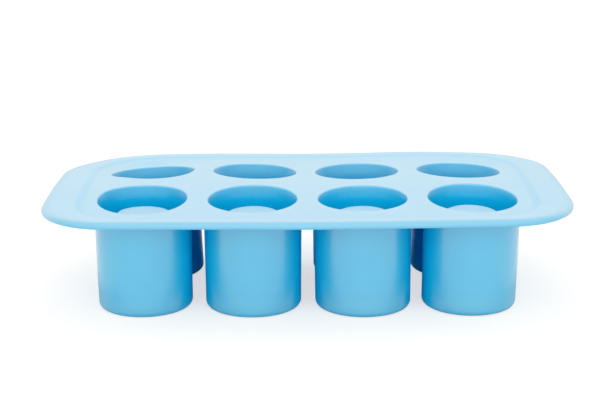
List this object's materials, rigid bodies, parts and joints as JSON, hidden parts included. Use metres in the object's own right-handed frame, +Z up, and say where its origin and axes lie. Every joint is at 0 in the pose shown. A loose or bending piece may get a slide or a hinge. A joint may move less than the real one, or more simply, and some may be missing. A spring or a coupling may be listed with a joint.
{
  "type": "shot glass ice mould",
  "caption": "One-piece flexible mould: a rimmed sheet with a grid of hanging cups, each with a hollow core, that freezes water into drinking glasses of ice.",
  "frame": {"origin": "on the resting plane of the cups' feet, under the middle of the sheet", "axes": "+X along the longer side, across the columns of cups; +Y from the front row of cups to the rear row; +Z up, out of the cups' mouths"},
  "size_m": [0.2758, 0.1586, 0.059],
  "materials": {
    "silicone": "satin, slightly translucent light blue silicone"
  },
  "bodies": {
    "root": {"mould": "silicone"}
  },
  "joints": []
}
